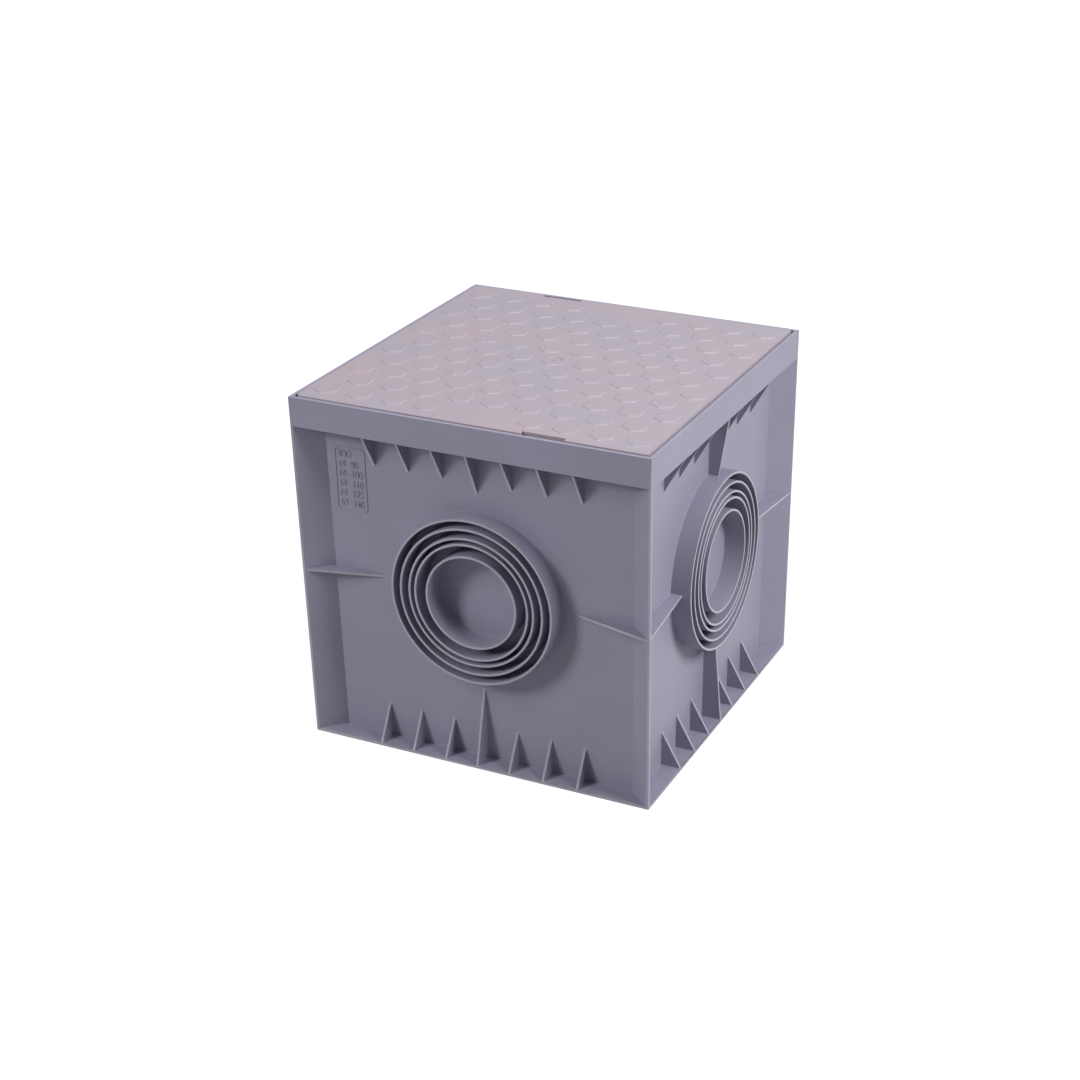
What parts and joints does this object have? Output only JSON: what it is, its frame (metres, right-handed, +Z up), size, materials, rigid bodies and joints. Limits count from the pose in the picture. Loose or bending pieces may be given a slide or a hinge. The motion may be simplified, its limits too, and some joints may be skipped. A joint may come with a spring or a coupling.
{
  "type": "drain inspection chamber",
  "caption": "Square moulded drain inspection chamber with nested knock-out pipe collars on four ribbed sides and a loose tread lid.",
  "frame": {"origin": "middle of the base, at the floor", "axes": "+Z up; the spigot collars face -Y and +Y, the socket collars face +X and -X; the -Y side has its lifting notch towards +X"},
  "size_m": [0.3, 0.3, 0.2916],
  "materials": {
    "body_polypropylene": "satin moulded grey polypropylene",
    "lid_polypropylene": "fine-textured moulded grey polypropylene"
  },
  "bodies": {
    "root": {"chamber_body": "body_polypropylene", "lid": "lid_polypropylene"}
  },
  "joints": []
}
